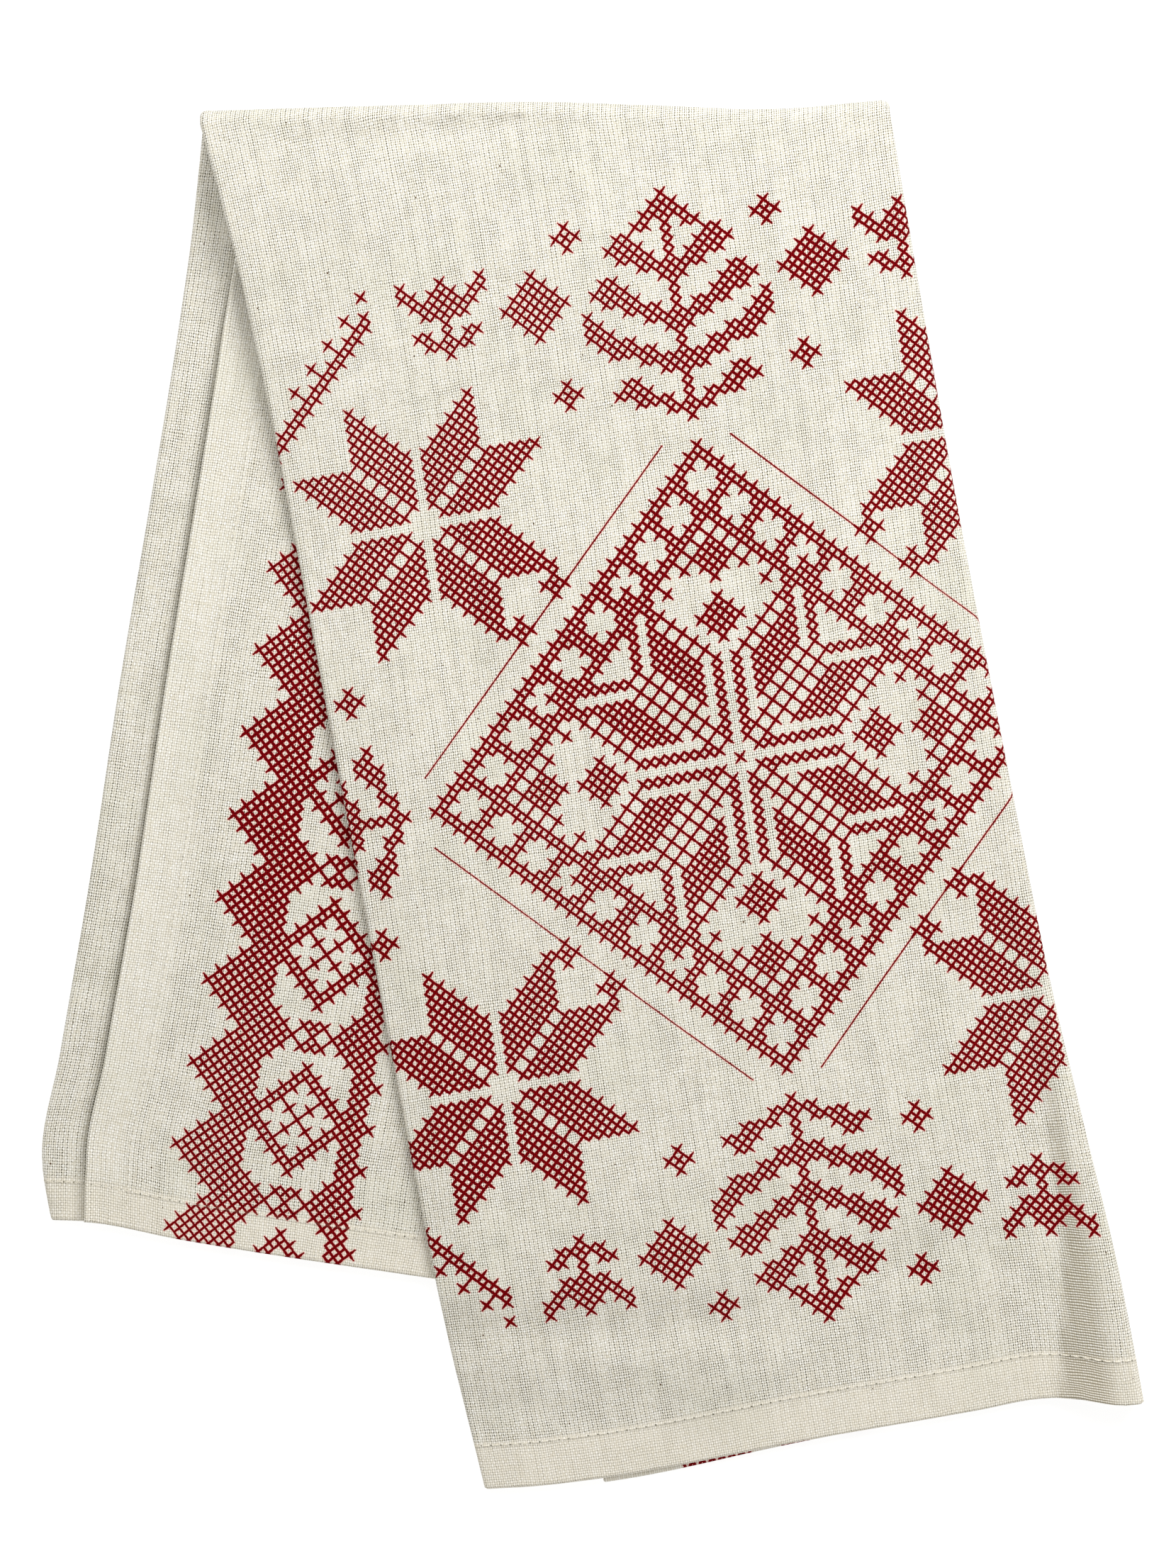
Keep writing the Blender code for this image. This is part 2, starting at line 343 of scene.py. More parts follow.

# Needle holes, painted with the gaps' shade: how dark in the end seams and the side seams, and the least
# share of it
END_HOLES, SIDE_HOLES = 1.0, 0.1
LEAST_HOLE = 0.25

# Seed flecks: spacing, then in shares of it the least reach and its growth, and which chances give one
SEED_SPACING = 0.024
SEED_REACH = 0.006
SEED_GROWTH = 0.009
SEED_STEP = (0.30, 0.34)

# Heights of the fine relief
YARN_RELIEF = 0.00009
HEM_RELIEF = 0.00010
GROOVE_DEPTH = 0.00016
PUCKER = 0.0007

# Slight unevenness of the layers: share of their height, and waves by length, direction and start
SWELL = 0.05
SWELLS = ((0.043, 0.4, 0.0), (0.061, 1.9, 1.3), (0.035, 2.8, 2.1), (0.083, 1.1, 4.0), (0.029, 0.1, 5.2))


def linear(*shown):
    """A colour in the renderer's linear values, from shares of 255 as a screen shows it."""
    shares = [value / 255 for value in shown]
    curved = [((share + 0.055) / 1.055) ** 2.4 if share > 0.04045 else share / 12.92 for share in shares]
    return (*curved, 1.0)


# Colours, as a screen shows them
CLOTH_LIGHT = linear(255, 255, 252)
CLOTH_DARK = linear(234, 229, 214)
CLOTH_COOL = linear(229, 231, 215)
CLOTH_WARM = linear(247, 238, 222)
# Painted shade in the hollows between the yarns' knuckles and in the seams' grooves
CREVICE_SHADE = linear(184, 177, 157)
RIB_SHADE = linear(146, 137, 116)
# Painted shade seen through the gaps between the yarns and through the needle holes
GAP_SHADE = linear(84, 82, 66)
SEED = linear(92, 66, 44)
INK = linear(112, 0, 5)
INK_EDGE = linear(126, 6, 12)
INK_BLEED = linear(242, 150, 144)
INK_CROSSING = linear(122, 2, 8)
# Ink a little lighter on the tops of the yarns' knuckles
INK_ON_KNUCKLES = linear(150, 18, 26)
# Painted shade seen through the gaps where the cloth is inked
GAP_SHADE_IN_INK = linear(62, 2, 6)
# The thread: lit on the crests of its twist, with painted shade in its grooves
THREAD_CREST_LIT = linear(250, 246, 232)
THREAD_GROOVE_SHADE = linear(224, 216, 198)

# Strongest share of some of these colours
COOL_SHARE = 0.35
WARM_SHARE = 0.3
VALLEY_SHADE_SHARE = 0.50
RIB_SHARE = 0.9
GROOVE_SHADE_SHARE = 0.05
BLEED_SHARE = 0.55
KNUCKLE_INK_SHARE = 0.35

# Gloss: roughness and specular level
CLOTH_GLOSS = (0.92, 0.03)
THREAD_GLOSS = (0.8, 0.3)
FLOOR_GLOSS = (1.0, 0.0)
THREAD_SHEEN = 0.1

# Lights: name, place, width and power. The room's light, and the floor with half its width.
LIGHTS = (("key_light", (0.38, 0.48, 0.61), 0.55, 5.2), ("fill_light", (-0.34, 0.58, 0.60), 0.60, 1.6))
ROOM_LIGHT = 0.615
ROOM_TINT = (1.0, 0.98, 0.94, 1.0)
FLOOR_HALF = 12.0
FLOOR_GREY = (0.25, 0.25, 0.25, 1.0)
FLOOR_GLOW = 0.85

# Photo: its frame is 1659 x 2212 pixels, and 0.1933 mm each
PHOTO_PIXEL = 0.0001933
PHOTO_WIDTH, PHOTO_HEIGHT = 1659, 2212
PHOTO_ORIGIN = (835, 1119)
CAMERA_HEIGHT = 1.30
SENSOR = 36.0


def smooth(share):
    """A soft step from 0 to 1 over shares from 0 to 1."""
    share = np.clip(share, 0.0, 1.0)
    return share * share * (3.0 - 2.0 * share)


def curve_value(table, share, column=1):
    """Reads a column of a table at shares between its rows, on a smooth curve through them."""
    places = np.array([row[0] for row in table])
    values = np.array([row[column] for row in table])
    share = np.clip(share, places[0], places[-1])
    slopes = np.gradient(values, places)
    row = np.clip(np.searchsorted(places, share) - 1, 0, len(table) - 2)
    step = places[row + 1] - places[row]
    t = (share - places[row]) / step
    return (
        values[row] * (1 + 2 * t) * (1 - t) ** 2
        + slopes[row] * step * t * (1 - t) ** 2
        + values[row + 1] * t * t * (3 - 2 * t)
        + slopes[row + 1] * step * t * t * (t - 1)
    )


def unit(start, end):
    way = np.subtract(end, start)
    return way / np.hypot(*way)


def left_of(way):
    """Direction to the left of someone who walks along way, seen from above."""
    return np.array((-way[1], way[0]))


def between(start, end, share):
    """Points at shares of the way from start to end."""
    return np.outer(1 - share, start) + np.outer(share, end)


OUT_OF_FOLD = left_of(unit(FOLD_LEFT, FOLD_RIGHT))
OUT_OF_FRONT_HEM = -left_of(unit(FRONT_HEM_LEFT, FRONT_HEM_RIGHT))


def leg_place(from_left, share, leg):
    """Places of a leg's points on the table, by distance from its left edge and share of its length."""
    hem_left, hem_right, bows, hem_bow = leg
    across = from_left / STRIP_WIDTH
    left = between(FOLD_LEFT, hem_left, share)
    right = between(FOLD_RIGHT, hem_right, share)
    left += np.outer(curve_value(bows, share, 1), left_of(unit(FOLD_LEFT, hem_left)))
    right += np.outer(curve_value(bows, share, 2), left_of(unit(FOLD_RIGHT, hem_right)))
    place = left * (1 - across)[:, None] + right * across[:, None]
    near_fold = smooth(1 - share / FOLD_BOW_RUN)
    near_hem = smooth(1 - (1 - share) / HEM_BOW_RUN)
    place += np.outer(curve_value(FOLD_BOW, across) * near_fold, OUT_OF_FOLD)
    return place - np.outer(curve_value(hem_bow, across) * near_hem, left_of(unit(hem_left, hem_right)))


def left_of_line(place, start, end):
    """Distance of places to the left of someone who walks from start to end."""
    return (place - start) @ left_of(unit(start, end))


def sink_at(place):
    """How far the front leg has sunk beyond the back leg's right fold and hem."""
    past_side = left_of_line(place, FOLD_RIGHT, BACK_HEM_RIGHT)
    past_hem = -left_of_line(place, BACK_HEM_LEFT, BACK_HEM_RIGHT)
    reach = np.hypot(np.maximum(past_side, 0), np.maximum(past_hem, 0))
    return SINK * smooth((reach - SINK_START) / SINK_RUN)


def ridge_rise(from_left, share):
    """How far up the ridge places on the front leg lie: 0 at its foot and 1 at its crest."""
    foot = curve_value(RIDGE, share, 2)
    return np.clip((foot - (STRIP_WIDTH - from_left)) / (foot - RIDGE_CREST), 0, 1)


def relief_at(from_left, share):
    """Height of the front leg's face above its even lie."""
    ridge = curve_value(RIDGE, share, 1) * (1 - (1 - ridge_rise(from_left, share)) ** RIDGE_ROUND)
    wave = WAVE_HEIGHT * np.sin(math.pi * np.clip(share, 0, 1)) ** 2
    wave *= 1 + np.sin(math.tau * (share * WAVE_REACH + from_left * WAVE_SKEW) / WAVE_LENGTH)
    return ridge + wave


def crease_relief(place):
    """How far places lie down in the creases, each of which fades at its ends."""
    depth = np.zeros(len(place))
    for start_x, start_y, end_x, end_y, half_width, deep in CREASES:
        start, end = (start_x, start_y), (end_x, end_y)
        along = (place - start) @ unit(start, end)
        length = math.hypot(end_x - start_x, end_y - start_y)
        started = smooth((along + CREASE_END) / (2 * CREASE_END))
        not_ended = smooth((length + CREASE_END - along) / (2 * CREASE_END))
        depth += deep * (started * not_ended) * np.exp(-((left_of_line(place, start, end) / half_width) ** 2))
    return depth


def loft_share(place):
    """How open the cross fold still is at places on the legs."""
    from_fold = (FOLD_LEFT - place) @ OUT_OF_FOLD
    return smooth((LOFT_END - from_fold) / (LOFT_END - LOFT_START))


def right_panel_width(s):
    """Flat width of the right panel up to where its fold starts to turn."""
    places, distances = zip(*LOOSE_EDGE)
    return STRIP_WIDTH - RIGHT_TURN - np.interp(s, places, distances)


def strip_place(u, s, inward):
    """Places in the strip: distance from the left fold, and depth below the strip's face."""
    right_end = right_panel_width(s)
    right_arc = right_end + math.pi * RIGHT_TURN
    centre_end = right_arc + STRIP_WIDTH - RIGHT_TURN - LEFT_TURN
    left_arc = centre_end + math.pi * LEFT_TURN
    turn = np.clip((u - right_end) / RIGHT_TURN, 0, math.pi)
    from_left = STRIP_WIDTH - RIGHT_TURN + (RIGHT_TURN - inward) * np.sin(turn)
    depth = RIGHT_TURN + (RIGHT_TURN - inward) * np.cos(turn)
    from_left = np.where(u < right_end, STRIP_WIDTH - RIGHT_TURN + u - right_end, from_left)
    from_left = np.where(u > right_arc, STRIP_WIDTH - RIGHT_TURN - (u - right_arc), from_left)
    turn = np.clip((u - centre_end) / LEFT_TURN, 0, math.pi)
    on_left = u > centre_end
    from_left = np.where(on_left, LEFT_TURN - (LEFT_TURN - inward) * np.sin(turn), from_left)
    from_left = np.where(u > left_arc, LEFT_TURN + u - left_arc, from_left)
    depth = np.where(on_left, LEFT_TURN - (LEFT_TURN - inward) * np.cos(turn), depth)
    return from_left, depth


def fold_start(from_left):
    """Place along the cloth where it starts to turn over."""
    return LEFT_LENGTH + (RIGHT_LENGTH - LEFT_LENGTH) * from_left / STRIP_WIDTH


def front_points(from_left, depth, share):
    """Points of the front leg, by place in the strip and share of the way to its hem."""
    place = leg_place(from_left, share, FRONT_LEG)
    loose = smooth(1 - (from_left - LOOSE_EDGE[0][1]) / UNDER_REACH_END)
    near_hem = smooth(1 - (1 - share) / HEM_BOW_RUN)
    place += np.outer(UNDER_REACH * loose * (depth / STRIP_DEPTH) ** 3 * near_hem, OUT_OF_FRONT_HEM)
    relief = relief_at(from_left, share) - crease_relief(place)
    lift = relief * (1 - depth / STRIP_DEPTH) + FOLD_LOFT * loft_share(place)
    sag = SAG * smooth(1 - from_left / SAG_RUN) * smooth((share - SAG_START) / SAG_GROWTH)
    return np.column_stack((place, STACK - depth - sink_at(place) + lift - sag))


def turn_points(from_left, depth, angle):
    """Points of the cross fold, by place in the strip and angle from the front leg round to the back leg."""
    across = from_left / STRIP_WIDTH
    radius = STACK / 2 - depth
    place = between(FOLD_LEFT, FOLD_RIGHT, across)
    place += np.outer(curve_value(FOLD_BOW, across) + radius * np.sin(angle), OUT_OF_FOLD)
    loft = FOLD_LOFT * (1 + np.cos(angle)) / 2
    return np.column_stack((place, STACK / 2 + radius * np.cos(angle) + loft))


def back_points(from_left, depth, share):
    """Points of the back leg, by place in the strip and share of the way to its hem."""
    place = leg_place(from_left, share, BACK_LEG)
    loft = BACK_LOFT * smooth(from_left / BACK_LOFT_RUN) * loft_share(place) * smooth(share / BACK_LOFT_RISE)
    return np.column_stack((place, depth + loft * smooth(depth / (2 * LEFT_TURN))))


def edge_lift(u, s):
    """The right panel's loose edge stands up a little from the back leg, and the left panel dips below it."""
    on_back = smooth((s - fold_start(0) - CROSS_FOLD) / EDGE_LIFT_START)
    lift = EDGE_LIFT * np.clip(1 - u / EDGE_LIFT_RUN, 0, 1) ** EDGE_LIFT_CURVE
    past = u - UNDER_EDGE
    before_hem = smooth((CLOTH_LENGTH - s) / BACK_SEAM - 1)
    dip = DIP * smooth(1 + past / DIP_FALL) * smooth((DIP_END - past) / DIP_END) * before_hem
    return (lift - dip) * on_back


def folded(u, s, inward):
    """Places in space of points of the cloth: inward is how far they lie in from its printed side."""
    from_left, depth = strip_place(u, s, inward)
    start = fold_start(from_left)
    end = start + CROSS_FOLD
    angle = np.clip((s - start) / CROSS_FOLD, 0, 1) * math.pi
    front = front_points(from_left, depth, np.maximum(1 - s / start, 0))
    turn = turn_points(from_left, depth, angle)
    back = back_points(from_left, depth, np.maximum((s - end) / (CLOTH_LENGTH - end), 0))
    on_front = (s < start)[:, None]
    on_back = (s > end)[:, None]
    points = np.where(on_front, front, np.where(on_back, back, turn))
    points[:, 2] += edge_lift(u, s)
    points[:, 2] *= 1 + swell(points[:, 0], points[:, 1])
    return points + ORIGIN_SHIFT


def swell(x, y):
    """Slight unevenness of the layers over the table, as a share of their height."""
    waves = sum(
        np.sin(math.tau * (x * math.cos(turn) + y * math.sin(turn)) / length + start)
        for length, turn, start in SWELLS
    )
    return SWELL * waves / len(SWELLS)


def thickness(u, s):
    """The cloth is thicker in its hems."""
    from_end_seam = np.minimum(s - FRONT_SEAM, CLOTH_LENGTH - BACK_SEAM - s)
    from_side_seam = np.minimum(u, CLOTH_WIDTH - u) - SIDE_SEAM
    from_seam = np.minimum(from_end_seam, from_side_seam)
    return CLOTH + (HEM - CLOTH) * smooth((HEM_OVERLAP - from_seam) / HEM_SLOPE)


# Chart of the print. A cell holds a cross, one slanting arm or nothing. Cells count from the print's middle.
CROSS, RISING, FALLING = 1, 2, 3
SPRIG = (
    "x.........",
    "xx........",
    "xxx.......",
    "x.xx......",
    "x...xx....",
    "x..xxxx...",
    "x.xxxx....",
    "xxxx......",
    "xx....xx..",
    "x....xxxx.",
    "x...xxxx..",
    "x.xxxx...x",
    "xxxx....xx",
    "xx.....xxx",
    "x....xxxx.",
    "x..xxxxx..",
    "xxxxx.....",
    "xxx.......",
    "x....xx...",
    "x...xxxx..",
    "x.xxxx....",
    "xxx.......",
    "x.........",
)
TULIP = (
    "x...x",
    "xx.xx",
    "xxxx.",
    "xxx..",
    "x....",
    "x.xx.",
    "xxx..",
    "x....",
)


def mirrored(cells):
    return cells | {(-i, j) for i, j in cells}


def moved(cells, across, along):
    return {(i + across, j + along) for i, j in cells}


def four_ways(cells):
    return {place for i, j in cells for place in ((i, j), (-j, i), (-i, -j), (j, -i))}


def eight_ways(cells):
    return four_ways(cells | {(j, i) for i, j in cells})


def drawn(rows):
    """Cells of a chart that is written out, with its last row at 0."""
    return {(i, j) for j, marks in enumerate(reversed(rows)) for i, mark in enumerate(marks) if mark == "x"}


def diamond(radius):
    reach = range(-radius, radius + 1)
    return {(i, j) for i in reach for j in reach if abs(i) + abs(j) <= radius}


def star(size, heart):
    """Eight outlined petals, each with a heart that starts a few cells in."""
    sides = range(1, size + 1)
    cells = set()
    for side in sides:
        for out in sides:
            edge = {side, out} & {1, size}
            in_heart = heart <= min(side, out) and max(side, out) <= size + 1 - heart
            if edge or in_heart:
                cells.add((side + out, side))
    return eight_ways(cells)


def slanting(first, last, far, pitch=1, run=1):
    """Cells of one eighth of a slanting line that crosses an axis at far, in runs with gaps between."""
    return {(far - j, j) for j in range(first, last + 1) if far - j >= j and (far - 2 * j) % pitch < run}


def medallion():
    """A large star in a laddered diamond, with sprigs, tulips and smaller stars round it."""
    crosses = star(9, 3) | {(0, 0)}
    frame = set().union(*(slanting(0, 15, far) for far in (24, 25, 30, 31)))
    rungs = set().union(*(slanting(0, 15, far, 6, 2) for far in (26, 27, 28, 29)))
    garland = slanting(31, 40, 79) | slanting(31, 40, 80)
    garland |= slanting(31, 40, 82, 4, 2) | slanting(32, 40, 77, 8, 1)
    crosses |= eight_ways(frame | rungs | garland)
    crosses |= four_ways(mirrored(moved(drawn(SPRIG), 0, 34)))
    crosses |= eight_ways(moved(star(6, 2), 28, 28))
    crosses |= four_ways(moved(diamond(2), 0, 20) | moved(diamond(2), 0, 14))
    crosses |= eight_ways(slanting(3, 9, 22, 4, 1) | moved(diamond(1), 20, 16))
    crosses |= eight_ways(moved(diamond(3), 14, 47) | moved(diamond(1), 12, 38) | moved(diamond(1), 10, 53))
    crosses |= eight_ways(moved(mirrored(drawn(TULIP)), 23, 44))
    marks = {(i, j): FALLING if i * j > 0 else RISING for i, j in eight_ways(slanting(4, 17, 35))}
    return marks | {place: CROSS for place in crosses}


def band_marks(rows):
    """The band along a side edge: a toothed line, linked diamonds, and a double line with short teeth."""
    cells = set()
    for j in rows:
        place = j % BAND_REPEAT
        off = abs(place - BAND_REPEAT // 2)
        tooth = min(place % 8, 8 - place % 8)
        columns = {*range(4 - tooth, 4), 4, 5, 6, 16, 17}
        columns |= {column for column in range(7, 16) if abs(column - 11) + off in (4, 5)}
        columns |= {11 - off, 11 + off} if off < 3 else set()
        columns |= {10, 11, 12} if off == 7 else set()
        columns |= {11} if off == 8 else set()
        columns |= {column for column in range(7, 16) if abs(column - 11) + off >= 10}
        columns |= {18} if place % 4 == 0 else set()
        cells |= {(column, j) for column in columns}
    return cells


def chart():
    """Marks of the whole print: the medallion, and a band along either side edge."""
    rows = range(-int(PRINT_CENTRE[1] / CELL) - 2, int((CLOTH_LENGTH - PRINT_CENTRE[1]) / CELL) + 3)
    band = mirrored(moved(band_marks(rows), -BAND_FIRST, 0))
    return medallion() | {place: CROSS for place in band}


def in_cells(u, s):
    """Places on the cloth as columns and rows of the chart, each of whose cells starts at a whole number."""
    return (u - PRINT_CENTRE[0]) / CELL + 0.5, (s - PRINT_CENTRE[1]) / CELL + 0.5


def chart_grid(marks):
    """The chart as a table of marks, and how many strokes, up to two, meet on each corner of its cells."""
    grid = np.zeros((2 * CHART_REACH, 2 * CHART_REACH), int)
    for (i, j), mark in marks.items():
        grid[i + CHART_REACH, j + CHART_REACH] = mark
    ends = np.zeros((2 * CHART_REACH + 1, 2 * CHART_REACH + 1))
    rising = (grid == CROSS) + THIN_END * (grid == RISING)
    falling = (grid == CROSS) + THIN_END * (grid == FALLING)
    ends[:-1, :-1] += rising
    ends[1:, 1:] += rising
    ends[1:, :-1] += falling
    ends[:-1, 1:] += falling
    return grid, np.minimum(ends, 2)


def grid_lines(length, centre):
    """Places of a flat grid's lines along one side of the cloth: its edges and the chart's cell borders."""
    borders = centre + (np.arange(-CHART_REACH, CHART_REACH) + 0.5) * CELL
    inside = borders[(borders > 1.5 * RIM) & (borders < length - 1.5 * RIM)]
    return np.concatenate(([0, RIM], inside, [length - RIM, length]))


def cut(shape, start, end, near):
    """Cuts the faces near a stretch of a fold along the line through its two ends."""
    (start_u, start_s), (end_u, end_s) = start, end
    low = (min(start_u, end_u) - near[0], min(start_s, end_s) - near[1])
    high = (max(start_u, end_u) + near[0], max(start_s, end_s) + near[1])
    faces = []
    for face in shape.faces:
        middle = face.calc_center_median()
        if low[0] < middle.x < high[0] and low[1] < middle.y < high[1]:
            faces.append(face)
    edges = {edge for face in faces for edge in face.edges}
    corners = {corner for face in faces for corner in face.verts}
    bmesh.ops.bisect_plane(
        shape,
        geom=[*faces, *edges, *corners],
        dist=CUT_JOIN,
        plane_co=(start_u, start_s, 0),
        plane_no=(end_s - start_s, start_u - end_u, 0),
    )


def side_fold_starts(s):
    """Places across the open cloth where the right and the left side fold start to turn."""
    right = float(right_panel_width(s))
    return right, right + math.pi * RIGHT_TURN + STRIP_WIDTH - RIGHT_TURN - LEFT_TURN


def cut_side_folds(shape):
    places = [row[0] for row in LOOSE_EDGE]
    for start_s, end_s in zip(places, places[1:]):
        starts = zip(side_fold_starts(start_s), side_fold_starts(end_s))
        for (start_u, end_u), turn, steps in zip(
            starts, (RIGHT_TURN, LEFT_TURN), (RIGHT_FOLD_STEPS, LEFT_FOLD_STEPS)
        ):
            for step in range(steps + 1):
                along = math.pi * turn * step / steps
                cut(shape, (start_u + along, start_s), (end_u + along, end_s), (CELL, 0))


def cut_ridge_foot(shape):
    """Two close lines along the ridge's foot, so that the cloth bends there and not over a whole cell."""
    for (share, _, foot), (next_share, _, next_foot) in zip(RIDGE, RIDGE[1:]):
        ends = []
        for end_share, end_foot in ((share, foot), (next_share, next_foot)):
            s = (1 - end_share) * fold_start(STRIP_WIDTH - end_foot)
            ends.append((float(right_panel_width(s)) + (math.pi - 1) * RIGHT_TURN + end_foot, s))
        for step in (-FOOT_BEND, FOOT_BEND):
            (start_u, start_s), (end_u, end_s) = ends
            cut(shape, (start_u + step, start_s), (end_u + step, end_s), (CELL, 0))


def cut_cross_fold(shape):
    """The fold runs askew over the strip, so on the open cloth it zigzags between the side folds."""
    middle = (LEFT_LENGTH + RIGHT_LENGTH) / 2
    right, left = side_fold_starts(middle)
    right += math.pi * RIGHT_TURN / 2
    left += math.pi * LEFT_TURN / 2
    loose = float(strip_place(np.array([0.0]), np.array([middle]), 0)[0][0])
    far = float(strip_place(np.array([CLOTH_WIDTH]), np.array([middle]), 0)[0][0])
    corners = ((0, loose), (right, STRIP_WIDTH), (left, 0), (CLOTH_WIDTH, far))
    for (start_u, start_x), (end_u, end_x) in zip(corners, corners[1:]):
        for step in range(CROSS_FOLD_STEPS + 1):
            along = CROSS_FOLD * step / CROSS_FOLD_STEPS
            start = (start_u, fold_start(start_x) + along)
            end = (end_u, fold_start(end_x) + along)
            cut(shape, start, end, (0, CELL))


def flat_cloth():
    """The open cloth cut into cells and along its folds: places of points, points of faces, and the rim."""
    dip_lines = [UNDER_EDGE + step for step in DIP_LINES]
    across = sorted([*grid_lines(CLOTH_WIDTH, PRINT_CENTRE[0]), *dip_lines])
    along = grid_lines(CLOTH_LENGTH, PRINT_CENTRE[1])
    shape = bmesh.new()
    rows = [[shape.verts.new((u, s, 0)) for u in across] for s in along]
    for row, next_row in zip(rows, rows[1:]):
        for i in range(len(across) - 1):
            shape.faces.new((row[i], row[i + 1], next_row[i + 1], next_row[i]))
    cut_side_folds(shape)
    cut_ridge_foot(shape)
    cut_cross_fold(shape)
    shape.verts.index_update()
    places = np.array([corner.co[:2] for corner in shape.verts])
    faces = [[corner.index for corner in face.verts] for face in shape.faces]
    rim = {}
    for edge in shape.edges:
        if edge.is_boundary:
            loop = edge.link_loops[0]
            rim[loop.vert.index] = loop.link_loop_next.vert.index
    shape.free()
    return places, faces, rim


def rim_order(rim):
    """Points of the cloth's edge in order."""
    order = [min(rim)]
    while rim[order[-1]] != order[0]:
        order.append(rim[order[-1]])
    return order


def out_past(places, length):
    """How far the rounded edge stands out past the ends of a side of this length, at places along it."""
    return EDGE_ROUND * ((places > length - RIM / 2).astype(float) - (places < RIM / 2))


def rim_faces(order, count):
    """Faces that join the edges of the printed and the plain side over a row of points halfway between."""
    faces = []
    for place, corner in enumerate(order):
        following = (place + 1) % len(order)
        middle, next_middle = 2 * count + place, 2 * count + following
        next_corner = order[following]
        faces.append((next_corner, corner, middle, next_middle))
        faces.append((next_middle, middle, count + corner, count + next_corner))
    return faces


def cloth_mesh():
    """The folded cloth: its printed side, its plain side, and the rounded edge that joins them."""
    places, printed, rim = flat_cloth()
    order = rim_order(rim)
    u, s = places.T
    count = len(places)
    all_u = np.concatenate((u, u, u[order] + out_past(u[order], CLOTH_WIDTH)))
    all_s = np.concatenate((s, s, s[order] + out_past(s[order], CLOTH_LENGTH)))
    thick = thickness(u, s)
    inward = np.concatenate((np.zeros(count), thick, thick[order] / 2))
    plain = [[count + corner for corner in reversed(face)] for face in printed]
    mesh = bpy.data.meshes.new("towel_cloth")
    mesh.from_pydata(folded(all_u, all_s, inward), [], [*printed, *plain, *rim_faces(order, count)])
    mesh.shade_smooth()
    add_cloth_map(mesh, all_u, all_s)
    add_ribs(mesh, all_u, all_s)
    corners, totals, middle_u, middle_s = face_middles(mesh, all_u, all_s)
    cells = [np.floor(place).astype(int) for place in in_cells(middle_u, middle_s)]
    add_marks(mesh, all_u, all_s, cells)
    sides = [False] * len(printed) + [True] * len(plain)
    baked_as_plain = np.array(sides + [False, True] * len(order))
    add_bake_map(mesh, (all_u[corners], all_s[corners]), totals, cells, baked_as_plain)
    looks_plain = np.array(sides + [True, True] * len(order))
    turned_hem = (middle_s < FRONT_SEAM) | (middle_s > CLOTH_LENGTH - BACK_SEAM)
    mesh.polygons.foreach_set("material_index", (looks_plain & ~turned_hem).astype(np.int32))
    return mesh


def add_cloth_map(mesh, u, s):
    """The place on the open cloth, in metres, as a map."""
    corners = np.zeros(len(mesh.loops), np.int32)
    mesh.loops.foreach_get("vertex_index", corners)
    mesh.uv_layers.new(name="cloth").data.foreach_set("uv", np.column_stack((u, s))[corners].ravel())


def face_middles(mesh, u, s):
    """Points of the faces' corners, how many corners each face has, and where each lies on the open cloth."""
    starts = np.zeros(len(mesh.polygons), np.int32)
    totals = np.zeros(len(mesh.polygons), np.int32)
    corners = np.zeros(len(mesh.loops), np.int32)
    mesh.polygons.foreach_get("loop_start", starts)
    mesh.polygons.foreach_get("loop_total", totals)
    mesh.loops.foreach_get("vertex_index", corners)
    middle_u = np.add.reduceat(u[corners], starts) / totals
    middle_s = np.add.reduceat(s[corners], starts) / totals
    return corners, totals, middle_u, middle_s


def add_bake_map(mesh, places, totals, cells, on_plain_side):
    """The map that an export bakes the cloth's colours by. Its blocks end on borders of the chart's cells."""
    across, along = in_cells(*places)
    column, row = cells
    spots = np.zeros((len(across), 2))
    for plain, first_column, columns, first_row, rows, turned, left, bottom, width, height in BAKE_BLOCKS:
        inside = (on_plain_side == plain) & (column >= first_column) & (column < first_column + columns)
        inside &= (row >= first_row) & (row < first_row + rows)
        corners = np.repeat(inside, totals)
        share_u = (across[corners] - first_column) / columns
        share_s = (along[corners] - first_row) / rows
        x, y = (share_s, 1 - share_u) if turned else (share_u, share_s)
        spots[corners] = np.column_stack((left + width * x, bottom + height * y)) / BAKE_SIZE
    mesh.uv_layers.new(name="OFBake").data.foreach_set("uv", spots.ravel())


def add_marks(mesh, u, s, cells):
    """The chart's marks on the faces, and where its strokes end on the points."""
    grid, ends = chart_grid(chart())
    column, row = cells
    marks = grid[column + CHART_REACH, row + CHART_REACH]
    arms = np.zeros((len(marks), 3))
    arms[:, 0] = (marks == CROSS) + THIN_STROKE * (marks == RISING)
    arms[:, 1] = (marks == CROSS) + THIN_STROKE * (marks == FALLING)
    mesh.attributes.new("arms", "FLOAT_VECTOR", "FACE").data.foreach_set("vector", arms.ravel())
    across, along = (place + CHART_REACH for place in in_cells(u, s))
    i, j = np.floor(across).astype(int), np.floor(along).astype(int)
    share_u, share_s = across - i, along - j
    low = ends[i, j] * (1 - share_u) + ends[i + 1, j] * share_u
    high = ends[i, j + 1] * (1 - share_u) + ends[i + 1, j + 1] * share_u
    lit = low * (1 - share_s) + high * share_s
    mesh.attributes.new("stroke_end", "FLOAT", "POINT").data.foreach_set("value", lit)


def add_ribs(mesh, u, s):
    """How far the weave closes up into ribs, where the cloth bends on the ridge's flank."""
    from_left, depth = strip_place(u, s, 0)
    share = 1 - s / fold_start(from_left)
    rise = ridge_rise(from_left, share)
    flank = smooth(rise / RIB_FOOT) * smooth((1 - rise) / RIB_TOP) * smooth((share - RIB_START) / RIB_RUN)
    ribs = np.where(depth < RIGHT_TURN, flank, 0)
    mesh.attributes.new("ribs", "FLOAT", "POINT").data.foreach_set("value", ribs)


